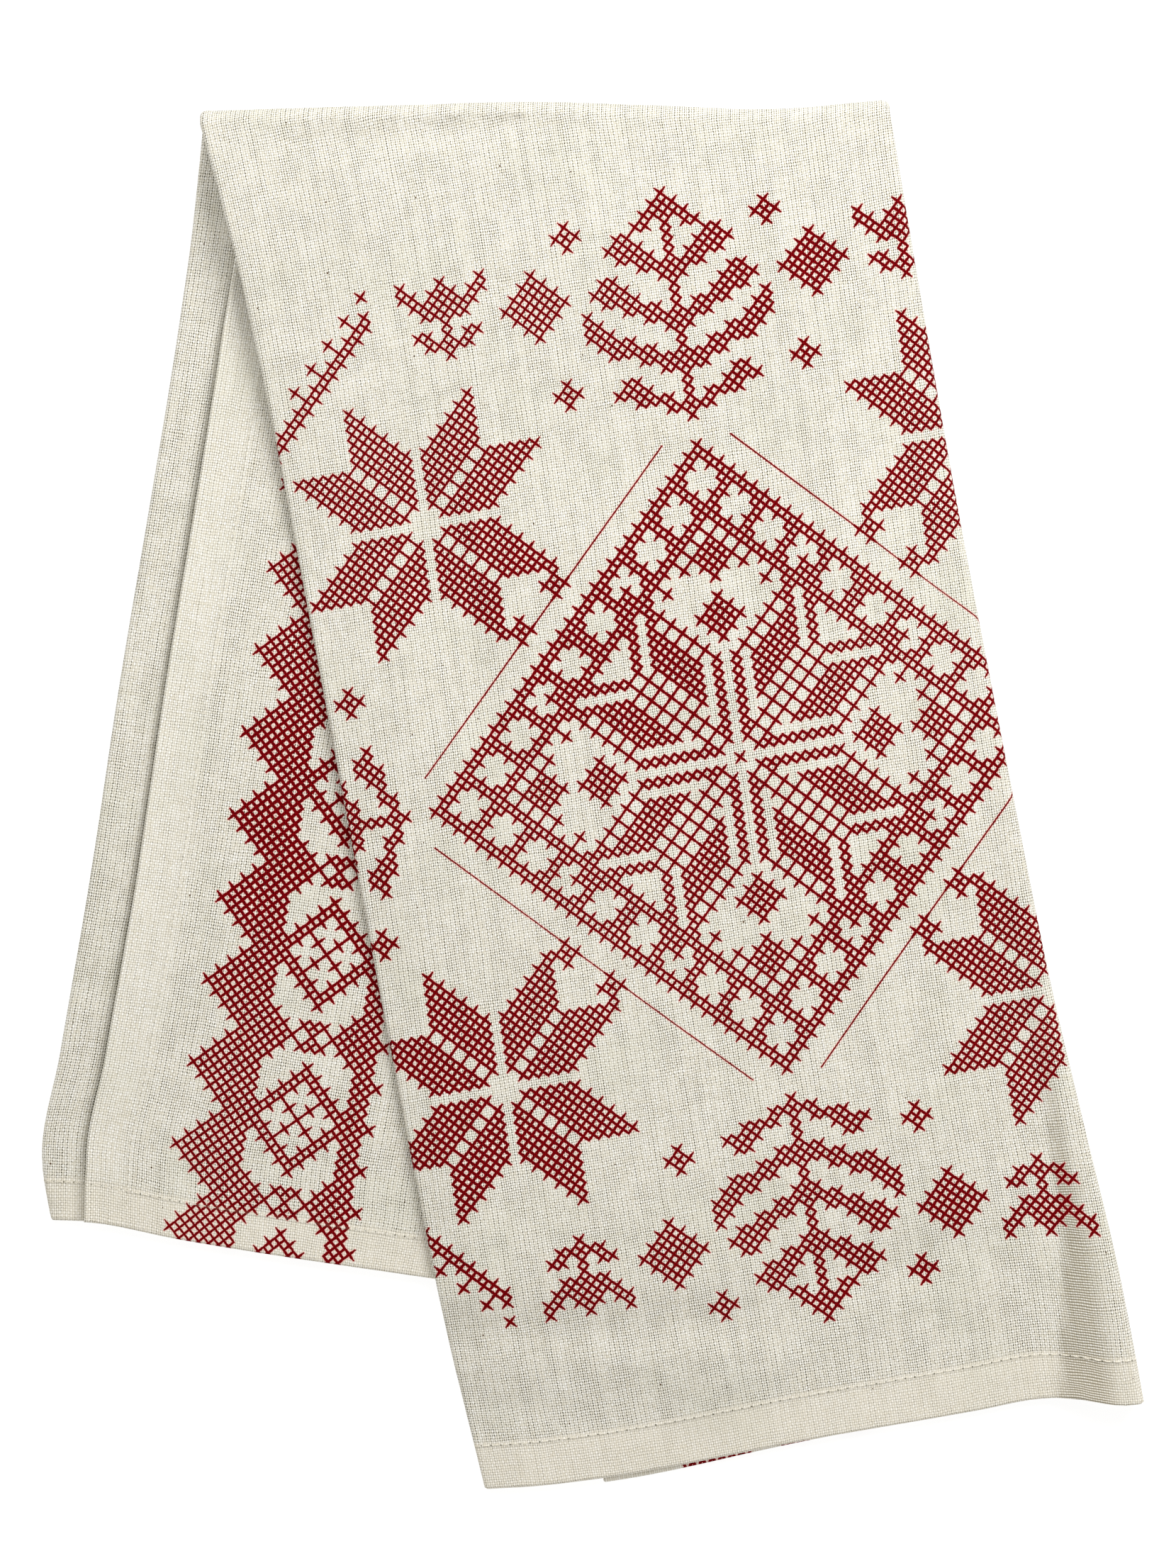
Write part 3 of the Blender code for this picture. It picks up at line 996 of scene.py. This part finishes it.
class Wire:
    """A value between a material's nodes, with the arithmetic that can be done on it."""

    def __init__(self, graph, socket):
        self.graph, self.socket = graph, socket

    def __add__(self, other):
        return self.graph.math("ADD", self, other)

    def __sub__(self, other):
        return self.graph.math("SUBTRACT", self, other)

    def __rsub__(self, other):
        return self.graph.math("SUBTRACT", other, self)

    def __mul__(self, other):
        return self.graph.math("MULTIPLY", self, other)

    def __truediv__(self, other):
        return self.graph.math("DIVIDE", self, other)

    def __abs__(self):
        return self.graph.math("ABSOLUTE", self)

    __radd__ = __add__
    __rmul__ = __mul__


class Graph:
    """A material and the nodes that make its surface."""

    def __init__(self, name):
        self.material = bpy.data.materials.new(name)
        self.material.use_nodes = True
        self.shader = self.material.node_tree.nodes["Principled BSDF"]

    def feed(self, socket, value):
        if isinstance(value, Wire):
            self.material.node_tree.links.new(value.socket, socket)
        else:
            socket.default_value = value

    def node(self, kind, inputs, **settings):
        node = self.material.node_tree.nodes.new(kind)
        for name, value in settings.items():
            setattr(node, name, value)
        for socket, value in inputs.items():
            self.feed(node.inputs[socket], value)
        return node

    def wire(self, kind, inputs, output=0, **settings):
        """The value that comes out of a new node."""
        return Wire(self, self.node(kind, inputs, **settings).outputs[output])

    def math(self, operation, *values):
        return self.wire("ShaderNodeMath", dict(enumerate(values)), operation=operation)

    def larger(self, first, second):
        return self.math("MAXIMUM", first, second)

    def smaller(self, first, second):
        return self.math("MINIMUM", first, second)

    def fraction(self, value):
        return self.math("FRACT", value)

    def floor(self, value):
        return self.math("FLOOR", value)

    def root(self, value):
        return self.math("SQRT", value)

    def rise(self, value, start, end):
        """0 up to start and 1 from end, softly between; end may be the lower one."""
        inputs = {"Value": value, "From Min": start, "From Max": end}
        return self.wire("ShaderNodeMapRange", inputs, interpolation_type="SMOOTHSTEP")

    def vector(self, x, y, z=0.0):
        return self.wire("ShaderNodeCombineXYZ", {0: x, 1: y, 2: z})

    def parts(self, vector):
        node = self.node("ShaderNodeSeparateXYZ", {0: vector})
        return [Wire(self, socket) for socket in node.outputs]

    def noise(self, u, s, pattern):
        fine_u, fine_s, detail, start = pattern
        place = self.vector(u * fine_u, s * fine_s, start)
        inputs = {"Vector": place, "Scale": 1.0, "Detail": detail, "Roughness": 0.6}
        return self.wire("ShaderNodeTexNoise", inputs)

    def chance(self, x, y):
        """A random number for each whole x and y."""
        place = self.vector(self.floor(x), self.floor(y))
        return self.wire("ShaderNodeTexWhiteNoise", {"Vector": place})

    def mix(self, share, first, second):
        """Mixes two colours."""
        return self.wire("ShaderNodeMix", {0: share, 6: first, 7: second}, output=2, data_type="RGBA")

    def attribute(self, name, output):
        return self.wire("ShaderNodeAttribute", {}, output, attribute_name=name)

    def place_on_cloth(self):
        return self.parts(self.wire("ShaderNodeUVMap", {}, uv_map="cloth"))[:2]

    def finish(self, colour, height, gloss):
        """Gives the surface its colour, relief by a height in metres, roughness and specular level."""
        inputs = self.shader.inputs
        self.feed(inputs["Base Color"], colour)
        if height is not None:
            bump = self.wire("ShaderNodeBump", {"Height": height, "Distance": 1.0, "Strength": 1.0})
            self.feed(inputs["Normal"], bump)
        inputs["Roughness"].default_value, inputs["Specular IOR Level"].default_value = gloss


def gap_share(graph, u, s, across, along, ribs):
    """Share of open gap between yarns: wide ones beside every second long yarn, tight ones beside each."""
    bands = graph.rise(graph.noise(u, s, THIN_BANDS), *THIN_STEP)
    patches = graph.rise(graph.noise(u, s, THIN_PATCHES), *THIN_STEP)
    luck = graph.chance(across * 0.5 + 0.5, along + 0.5)
    strength = GAP_BASE + GAP_IN_BANDS * bands + GAP_IN_PATCHES * patches + GAP_BY_LUCK * luck
    strength = strength * (1.0 - RIB_CLOSING * ribs)
    corner = graph.floor(across + 0.5) + graph.floor(along + 0.5)
    lean = graph.fraction(corner * 0.5) * 2.0 * GAP_LEAN - GAP_LEAN / 2
    from_gap = graph.fraction(across + 0.5) - 0.5
    from_pair_gap = 1.0 - abs(graph.fraction(across * 0.5) * 2.0 - 1.0)
    wide = from_pair_gap * (YARN_ACROSS / GAP_WIDTH)
    narrow = abs(from_gap) * (YARN_ACROSS / GAP_WIDTH) * TIGHT_WIDTH
    tall = abs(graph.fraction(along + 0.5) - 0.5 + from_gap * lean) * (YARN_ALONG / GAP_LENGTH)
    open_gap = graph.rise(graph.root(wide * wide + tall * tall), *GAP_STEP) * strength
    tight_gap = graph.rise(graph.root(narrow * narrow + tall * tall), *GAP_STEP) * strength
    return graph.larger(open_gap, tight_gap * (TIGHT_BASE + TIGHT_IN_PATCHES * patches))


def knuckles(graph, across, along):
    """Height of the yarns where they cross, a long yarn on top in every second crossing."""
    off_u = graph.fraction(across) - 0.5
    off_s = graph.fraction(along) - 0.5
    square_u, square_s = off_u * off_u, off_s * off_s
    long_yarn = graph.root(square_u * KNUCKLE_ACROSS + square_s * KNUCKLE_ALONG)
    cross_yarn = graph.root(square_u * KNUCKLE_ALONG + square_s * KNUCKLE_ACROSS)
    long_knuckle = graph.rise(long_yarn, *KNUCKLE_STEP)
    cross_knuckle = graph.rise(cross_yarn, *KNUCKLE_STEP) * CROSS_HEIGHT
    crossing = graph.floor(across) + graph.floor(along)
    long_yarn_on_top = graph.math("GREATER_THAN", graph.fraction(crossing * 0.5), 0.25)
    return cross_knuckle + (long_knuckle - cross_knuckle) * long_yarn_on_top


def yarns(graph, u, s):
    """Share of open gap between the yarns, their height, how light they are, and the shade between ribs."""
    across = u / YARN_ACROSS + (graph.noise(u, s, DRIFT_ACROSS) - 0.5) * DRIFTS[0]
    along = s / YARN_ALONG + (graph.noise(u, s, DRIFT_ALONG) - 0.5) * DRIFTS[1]
    ribs = graph.attribute("ribs", "Fac")
    gap = gap_share(graph, u, s, across, along, ribs)
    yarn_tone = graph.noise(u, s, LONG_YARNS) + graph.noise(u, s, CROSS_YARNS) - 1.0
    stretch_tone = graph.chance(across, along) - 0.5
    fibre_tone = graph.noise(u, s, FIBRES) - 0.5
    tone = yarn_tone * YARN_TONE + stretch_tone * STRETCH_TONE + fibre_tone * FIBRE_TONE
    between_ribs = graph.rise(0.5 - abs(graph.fraction(along) - 0.5), *RIB_STEP) * ribs
    return gap, knuckles(graph, across, along), tone, between_ribs


def seam_marks(graph, u, s):
    """Where the stitched groove, the end hems and the side hems are, and the needle holes along the seams."""
    from_end_seam = graph.smaller(s - FRONT_SEAM, CLOTH_LENGTH - BACK_SEAM - s)
    from_side_seam = graph.smaller(u - SIDE_SEAM, CLOTH_WIDTH - SIDE_SEAM - u)
    nearest = graph.smaller(from_end_seam, from_side_seam)
    groove = graph.rise(abs(nearest), *GROOVE_STEP)
    hem = graph.rise(from_end_seam, *HEM_STEP)
    side_hem = graph.rise(from_side_seam, *HEM_STEP)
    holes = []
    for seam, along, dark in ((from_end_seam, u, END_HOLES), (from_side_seam, s, SIDE_HOLES)):
        stitch = along / SEAM_PITCH
        off_hole = abs(graph.fraction(stitch) - 0.5) * SEAM_PITCH
        off = graph.root(seam * seam + off_hole * off_hole)
        strength = (LEAST_HOLE + (1 - LEAST_HOLE) * graph.chance(stitch, seam)) * dark
        holes.append(graph.rise(off, *HOLE_STEP) * strength)
    return groove, hem, side_hem, holes[0] + holes[1]


def cloth_colour(graph, u, s):
    """Colour of plain cloth, with painted shade between knuckles and ribs, before its gaps; and its relief:
    gaps, knuckles, seam grooves, hems and holes.
    """
    gap, rounds, tone, shade = yarns(graph, u, s)
    groove, hem, side_hem, holes = seam_marks(graph, u, s)
    gap = gap * (1.0 - graph.larger(HEM_CLOSING * hem, SIDE_CLOSING * side_hem))
    colour = graph.mix(graph.rise(tone, *TONE_STEP), CLOTH_DARK, CLOTH_LIGHT)
    patches = graph.rise(graph.noise(u, s, COOL_PATCHES), *COOL_STEP)
    colour = graph.mix(patches * COOL_SHARE, colour, CLOTH_COOL)
    colour = graph.mix(hem * WARM_SHARE, colour, CLOTH_WARM)
    # Painted shade in the hollows between knuckles, and between ribs where the cloth bends
    colour = graph.mix(graph.rise(rounds, *VALLEY_SHADE_STEP) * VALLEY_SHADE_SHARE, colour, CREVICE_SHADE)
    colour = graph.mix(shade * RIB_SHARE, colour, RIB_SHADE)
    return colour, (gap, rounds, groove, hem, holes)


def seeds(graph, u, s):
    """Where rare flecks of seed husk are left in the yarn."""
    place = graph.vector(u / SEED_SPACING, s / SEED_SPACING)
    node = graph.node("ShaderNodeTexVoronoi", {"Vector": place, "Scale": 1.0}, voronoi_dimensions="2D")
    chance, size = graph.parts(Wire(graph, node.outputs["Color"]))[:2]
    distance = Wire(graph, node.outputs["Distance"]) / (SEED_REACH + SEED_GROWTH * size)
    return graph.rise(distance, 1.0, 0.5) * graph.rise(chance, *SEED_STEP)


def ink_marks(graph, u, s):
    """How deep in a printed stroke places lie, and how deep where two strokes cross."""
    across, along = (graph.fraction(place) - 0.5 for place in in_cells(u, s))
    ragged = (graph.noise(u, s, RAGGED_INK) - 0.5) * RAGGED
    ragged = ragged + (graph.noise(u, s, UNEVEN_INK) - 0.5) * UNEVEN
    rising, falling = graph.parts(graph.attribute("arms", "Vector"))[:2]
    meeting = graph.attribute("stroke_end", "Fac")
    end_width = FREE_END + (JOINED_END - FREE_END) * graph.rise(meeting, *JOINED_STEP)
    total, difference = across + along, across - along
    strokes = []
    for width, off, out in ((rising, difference, total), (falling, total, difference)):
        taper = 1.0 - (1.0 - end_width) * graph.rise(abs(out), *TAPER_STEP)
        missing = graph.math("LESS_THAN", width, THIN_STROKE / 2) * STROKE
        depth = graph.smaller(width, taper) * (STROKE / 2) - abs(off) * (CELL / math.sqrt(2))
        strokes.append(depth - missing - ragged)
    corner_u = 0.5 - abs(across)
    corner_s = 0.5 - abs(along)
    off_corner = graph.root(corner_u * corner_u + corner_s * corner_s) * CELL
    unlit = graph.rise(meeting, *LIT_STEP) * STROKE
    cap = end_width * (STROKE / 2) - off_corner - unlit - ragged
    deep = graph.larger(graph.larger(strokes[0], strokes[1]), cap)
    return deep, graph.smaller(strokes[0], strokes[1])


def printed_material():
    graph = Graph("printed_cotton")
    u, s = graph.place_on_cloth()
    colour, relief = cloth_colour(graph, u, s)
    deep, both = ink_marks(graph, u, s)
    inked = graph.rise(deep, *INK_STEP)
    colour = graph.mix(graph.rise(deep, *BLEED_STEP) * BLEED_SHARE, colour, INK_BLEED)
    ink = graph.mix(graph.rise(deep, *INK_EDGE_STEP), INK_EDGE, INK)
    ink = graph.mix(graph.rise(both, *CROSSING_STEP), ink, INK_CROSSING)
    rounds = relief[1]
    # Ink a little lighter on the knuckles' tops
    ink = graph.mix(graph.rise(rounds, *KNUCKLE_INK_STEP) * KNUCKLE_INK_SHARE, ink, INK_ON_KNUCKLES)
    # Painted shade seen through the gaps, darker under ink
    gap_shade_colour = graph.mix(inked, GAP_SHADE, GAP_SHADE_IN_INK)
    finish_cloth(graph, graph.mix(inked, colour, ink), (u, s), relief, gap_shade_colour)
    return graph.material


def plain_material():
    graph = Graph("plain_cotton")
    u, s = graph.place_on_cloth()
    colour, relief = cloth_colour(graph, u, s)
    finish_cloth(graph, colour, (u, s), relief, GAP_SHADE)
    return graph.material


def finish_cloth(graph, colour, place, relief, gap_shade_colour):
    """Adds the seed flecks and the painted shade of the gaps, needle holes and seam grooves to a cloth's
    colour, and gives it its fine relief.
    """
    gap, rounds, groove, hem, holes = relief
    colour = graph.mix(seeds(graph, *place), colour, SEED)
    # Painted shade in the gaps and needle holes
    colour = graph.mix(graph.smaller(gap + holes, 1.0), colour, gap_shade_colour)
    # Painted shade in the seams' grooves
    colour = graph.mix(groove * GROOVE_SHADE_SHARE, colour, CREVICE_SHADE)
    height = rounds * YARN_RELIEF - gap * YARN_RELIEF + hem * HEM_RELIEF - groove * GROOVE_DEPTH
    graph.finish(colour, height + graph.noise(*place, PUCKERS) * PUCKER, CLOTH_GLOSS)


def thread_material():
    graph = Graph("cotton_thread")
    u, s = graph.place_on_cloth()
    twist = graph.fraction((u + s) / THREAD_TWIST)
    # Lighter on the twist's crests, with painted shade in its grooves
    ridge = graph.rise(abs(twist - 0.5), 0.5, 0.0)
    colour = graph.mix(ridge, THREAD_GROOVE_SHADE, THREAD_CREST_LIT)
    graph.finish(colour, ridge * TWIST_RELIEF, THREAD_GLOSS)
    graph.shader.inputs["Sheen Weight"].default_value = THREAD_SHEEN
    return graph.material


def seam_stitches():
    """Start and end, on the open cloth, of each stitch of the four hems."""
    stitches = []
    half = SEAM_STITCH / 2
    for place in (FRONT_SEAM, CLOTH_LENGTH - BACK_SEAM):
        for middle in np.arange(1, int(CLOTH_WIDTH / SEAM_PITCH)) * SEAM_PITCH:
            stitches.append(((middle - half, place), (middle + half, place)))
    for place in (SIDE_SEAM, CLOTH_WIDTH - SIDE_SEAM):
        for middle in np.arange(1, int(CLOTH_LENGTH / SEAM_PITCH)) * SEAM_PITCH:
            stitches.append(((place, middle - half), (place, middle + half)))
    return np.array(stitches)


def stitch_show(starts):
    """How far stitches stand out: the end seams' do in some stretches, and the side seams' do a little."""
    u, s = starts.T
    wave = 0.5 + 0.5 * np.cos(math.tau * (u - SINK_WAVE_TOP) / SINK_WAVE)
    on_end_seam = (np.abs(s - FRONT_SEAM) < THREAD) | (np.abs(s - CLOTH_LENGTH + BACK_SEAM) < THREAD)
    return np.where(on_end_seam, wave, SIDE_SHOW)


def stitch_points():
    """For each stitch the places and heights of its points: its rings of thread, and its two tips."""
    stitches = seam_stitches()
    starts, ends = stitches[:, 0], stitches[:, 1]
    sunk = STITCH_SINK * (1 - stitch_show(starts))
    ways = (ends - starts) / np.linalg.norm(ends - starts, axis=1)[:, None]
    sides = np.column_stack((-ways[:, 1], ways[:, 0]))
    rings = []
    for share, size, lift in STITCH_RINGS:
        middle = starts + (ends - starts) * share
        for corner in range(STITCH_SIDES):
            angle = math.tau * (corner + 0.5) / STITCH_SIDES
            place = middle + sides * (math.cos(angle) * size * THREAD / 2)
            height = THREAD * (lift + math.sin(angle) * size / 2 - sunk)
            rings.append(np.column_stack((place, height)))
    tips = [np.column_stack((end, -THREAD * (STITCH_DIP + sunk))) for end in (starts, ends)]
    return np.stack((*rings, *tips), axis=1)


def stitch_faces(first):
    """Faces of the stitch whose points start at first."""
    corners = [(corner, (corner + 1) % STITCH_SIDES) for corner in range(STITCH_SIDES)]
    last_ring = first + (len(STITCH_RINGS) - 1) * STITCH_SIDES
    first_tip = last_ring + STITCH_SIDES
    faces = []
    for ring in range(first, last_ring, STITCH_SIDES):
        for corner, following in corners:
            next_ring = ring + STITCH_SIDES
            faces.append((ring + corner, ring + following, next_ring + following, next_ring + corner))
    for corner, following in corners:
        faces.append((first + following, first + corner, first_tip))
        faces.append((last_ring + corner, last_ring + following, first_tip + 1))
    return faces


def stitch_mesh():
    """A short round-ended run of thread for each stitch, pulled into the cloth at both ends."""
    flat = stitch_points()
    u, s, height = flat.reshape(-1, 3).T
    points = folded(u, s, -height)
    points[:, 2] = np.maximum(points[:, 2], 0)
    faces = [face for first in range(0, len(points), flat.shape[1]) for face in stitch_faces(first)]
    mesh = bpy.data.meshes.new("hem_stitches")
    mesh.from_pydata(points, [], faces)
    mesh.shade_smooth()
    add_cloth_map(mesh, u, s)
    return mesh


def new_piece(name, mesh, materials):
    for material in materials:
        mesh.materials.append(material)
    piece = bpy.data.objects.new(name, mesh)
    bpy.context.scene.collection.objects.link(piece)
    return piece


def floor():
    shape = bmesh.new()
    bmesh.ops.create_grid(shape, x_segments=2, y_segments=2, size=FLOOR_HALF)
    mesh = bpy.data.meshes.new("floor")
    shape.to_mesh(mesh)
    shape.free()
    graph = Graph("white_floor")
    graph.finish(FLOOR_GREY, None, FLOOR_GLOSS)
    graph.shader.inputs["Emission Color"].default_value = (1.0, 1.0, 1.0, 1.0)
    graph.shader.inputs["Emission Strength"].default_value = FLOOR_GLOW
    return new_piece("floor", mesh, [graph.material])


def add_light(name, place, size, power):
    light = bpy.data.lights.new(name, "AREA")
    light.shape = "DISK"
    light.size = size
    light.energy = power
    lamp = bpy.data.objects.new(name, light)
    lamp.location = place
    lamp.rotation_euler = (-Vector(place)).to_track_quat("-Z", "Y").to_euler()
    bpy.context.scene.collection.objects.link(lamp)


def add_lights():
    for light in LIGHTS:
        add_light(*light)
    world = bpy.data.worlds.new("soft_room")
    world.use_nodes = True
    world.node_tree.nodes["Background"].inputs["Color"].default_value = ROOM_TINT
    world.node_tree.nodes["Background"].inputs["Strength"].default_value = ROOM_LIGHT
    bpy.context.scene.world = world


def add_camera():
    """Straight above the middle of the photo."""
    camera = bpy.data.cameras.new("camera")
    camera.sensor_width = SENSOR
    camera.lens = SENSOR * CAMERA_HEIGHT / (PHOTO_HEIGHT * PHOTO_PIXEL)
    eye = bpy.data.objects.new("camera", camera)
    eye.location = (
        (PHOTO_WIDTH / 2 - PHOTO_ORIGIN[0]) * PHOTO_PIXEL,
        (PHOTO_ORIGIN[1] - PHOTO_HEIGHT / 2) * PHOTO_PIXEL,
        CAMERA_HEIGHT + STACK / 2,
    )
    bpy.context.scene.collection.objects.link(eye)
    bpy.context.scene.camera = eye


def build():
    cloth = new_piece("towel_cloth", cloth_mesh(), [printed_material(), plain_material()])
    stitches = new_piece("hem_stitches", stitch_mesh(), [thread_material()])
    ground = floor()
    for piece in (cloth, stitches):
        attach(piece, "root")
    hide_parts("towel")
    add_lights()
    add_camera()
    bpy.context.scene.view_settings.view_transform = "Standard"


build()
